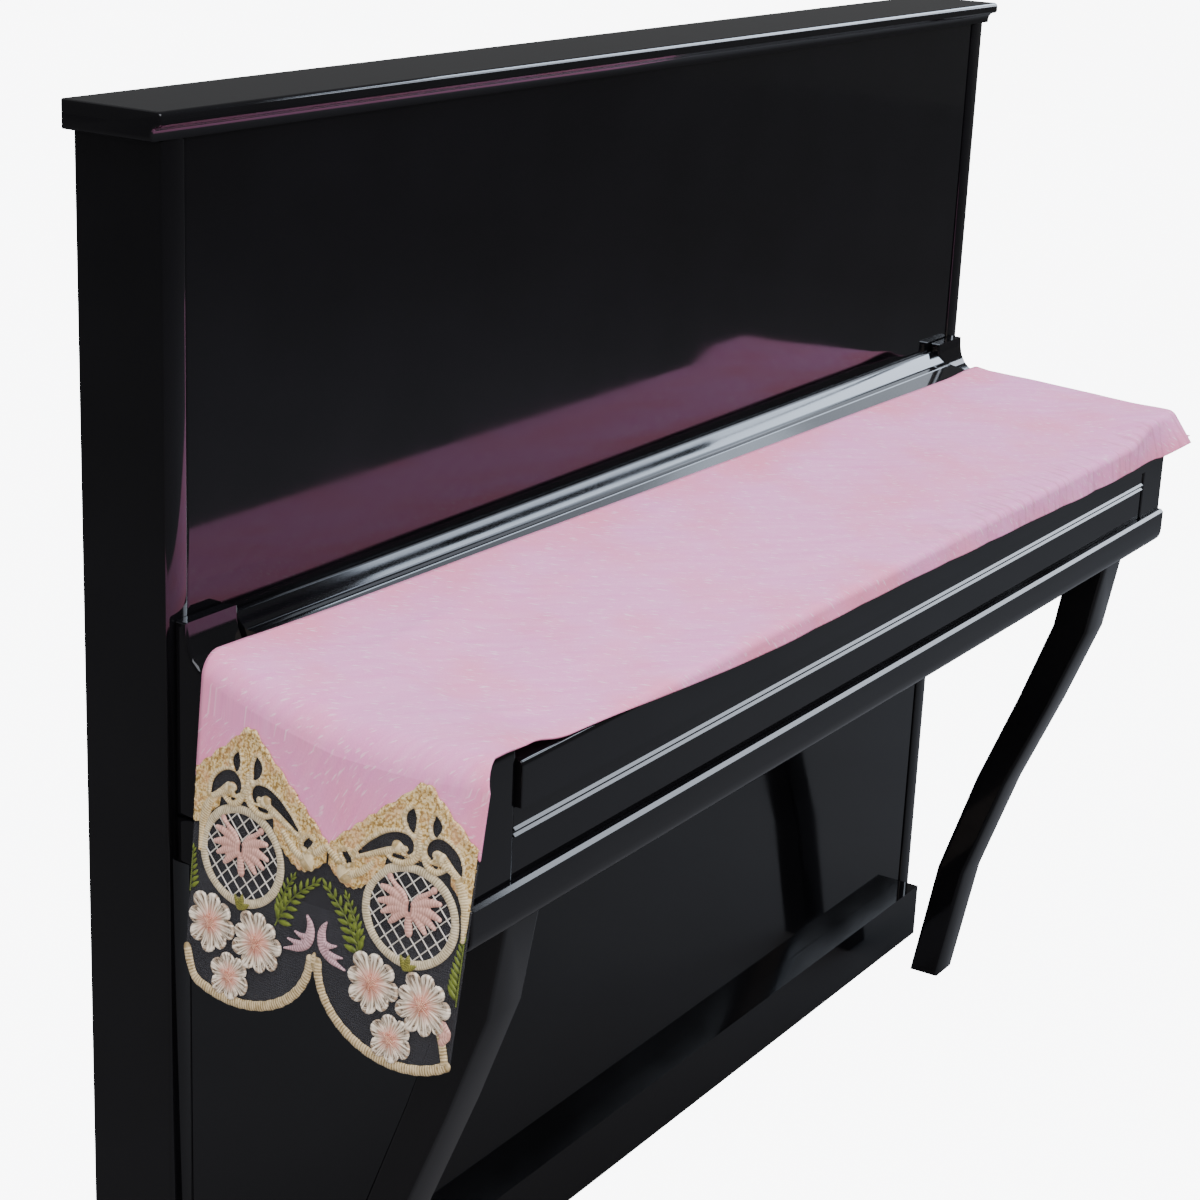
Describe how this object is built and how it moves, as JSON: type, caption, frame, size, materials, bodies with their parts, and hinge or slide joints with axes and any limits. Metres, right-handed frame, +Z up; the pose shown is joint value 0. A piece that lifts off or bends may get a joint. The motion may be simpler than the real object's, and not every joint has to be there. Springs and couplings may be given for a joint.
{
  "type": "piano keyboard cover on a plain upright piano",
  "caption": "Pink suede keyboard cover with embroidered lace ends, lying over the closed key lid of a plain black upright piano",
  "frame": {"origin": "on the floor, below the middle of the upper panel's front face", "axes": "+X to the player's right along the keyboard, +Y from the player to the piano's back, +Z up"},
  "size_m": [1.5814, 0.4277, 1.237],
  "materials": {
    "suede_cloth": "matte napped suede cloth",
    "lace_net": "sheer fine net",
    "cream_thread": "satin stitch in cream and gold thread",
    "pink_thread": "satin stitch in pink thread",
    "petal_thread": "embroidered petals in cream and pink thread",
    "green_thread": "satin stitch in olive thread",
    "black_lacquer": "polished black lacquer"
  },
  "bodies": {
    "root": {"arm_left": "black_lacquer", "arm_right": "black_lacquer", "back_panel": "black_lacquer", "bud_leaf_back_left": "green_thread", "bud_leaf_back_right": "green_thread", "bud_leaf_front_left": "green_thread", "bud_leaf_front_right": "green_thread", "butterfly_back_left": "pink_thread", "butterfly_back_right": "pink_thread", "butterfly_front_left": "pink_thread", "butterfly_front_right": "pink_thread", "cover_cloth": "suede_cloth", "cusp_leaf_back_left": "pink_thread", "cusp_leaf_back_right": "pink_thread", "cusp_leaf_front_left": "pink_thread", "cusp_leaf_front_right": "pink_thread", "fern_edge_back_left": "green_thread", "fern_edge_back_right": "green_thread", "fern_edge_front_left": "green_thread", "fern_edge_front_right": "green_thread", "fern_inner_back_left": "green_thread", "fern_inner_back_right": "green_thread", "fern_inner_front_left": "green_thread", "fern_inner_front_right": "green_thread", "flowers_back_left": "petal_thread", "flowers_back_right": "petal_thread", "flowers_front_left": "petal_thread", "flowers_front_right": "petal_thread", "key_bed": "black_lacquer", "key_lid": "black_lacquer", "key_slip": "black_lacquer", "lace_ground_left": "lace_net", "lace_ground_right": "lace_net", "leg_left": "black_lacquer", "leg_right": "black_lacquer", "lid_strip": "black_lacquer", "lower_panel": "black_lacquer", "oval_frame_back_left": "cream_thread", "oval_frame_back_right": "cream_thread", "oval_frame_front_left": "cream_thread", "oval_frame_front_right": "cream_thread", "plinth": "black_lacquer", "scallop_band_left": "cream_thread", "scallop_band_right": "cream_thread", "scroll_back_left": "cream_thread", "scroll_back_right": "cream_thread", "scroll_front_left": "cream_thread", "scroll_front_right": "cream_thread", "side_board_left": "black_lacquer", "side_board_right": "black_lacquer", "top_lid": "black_lacquer", "upper_panel": "black_lacquer"}
  },
  "joints": []
}
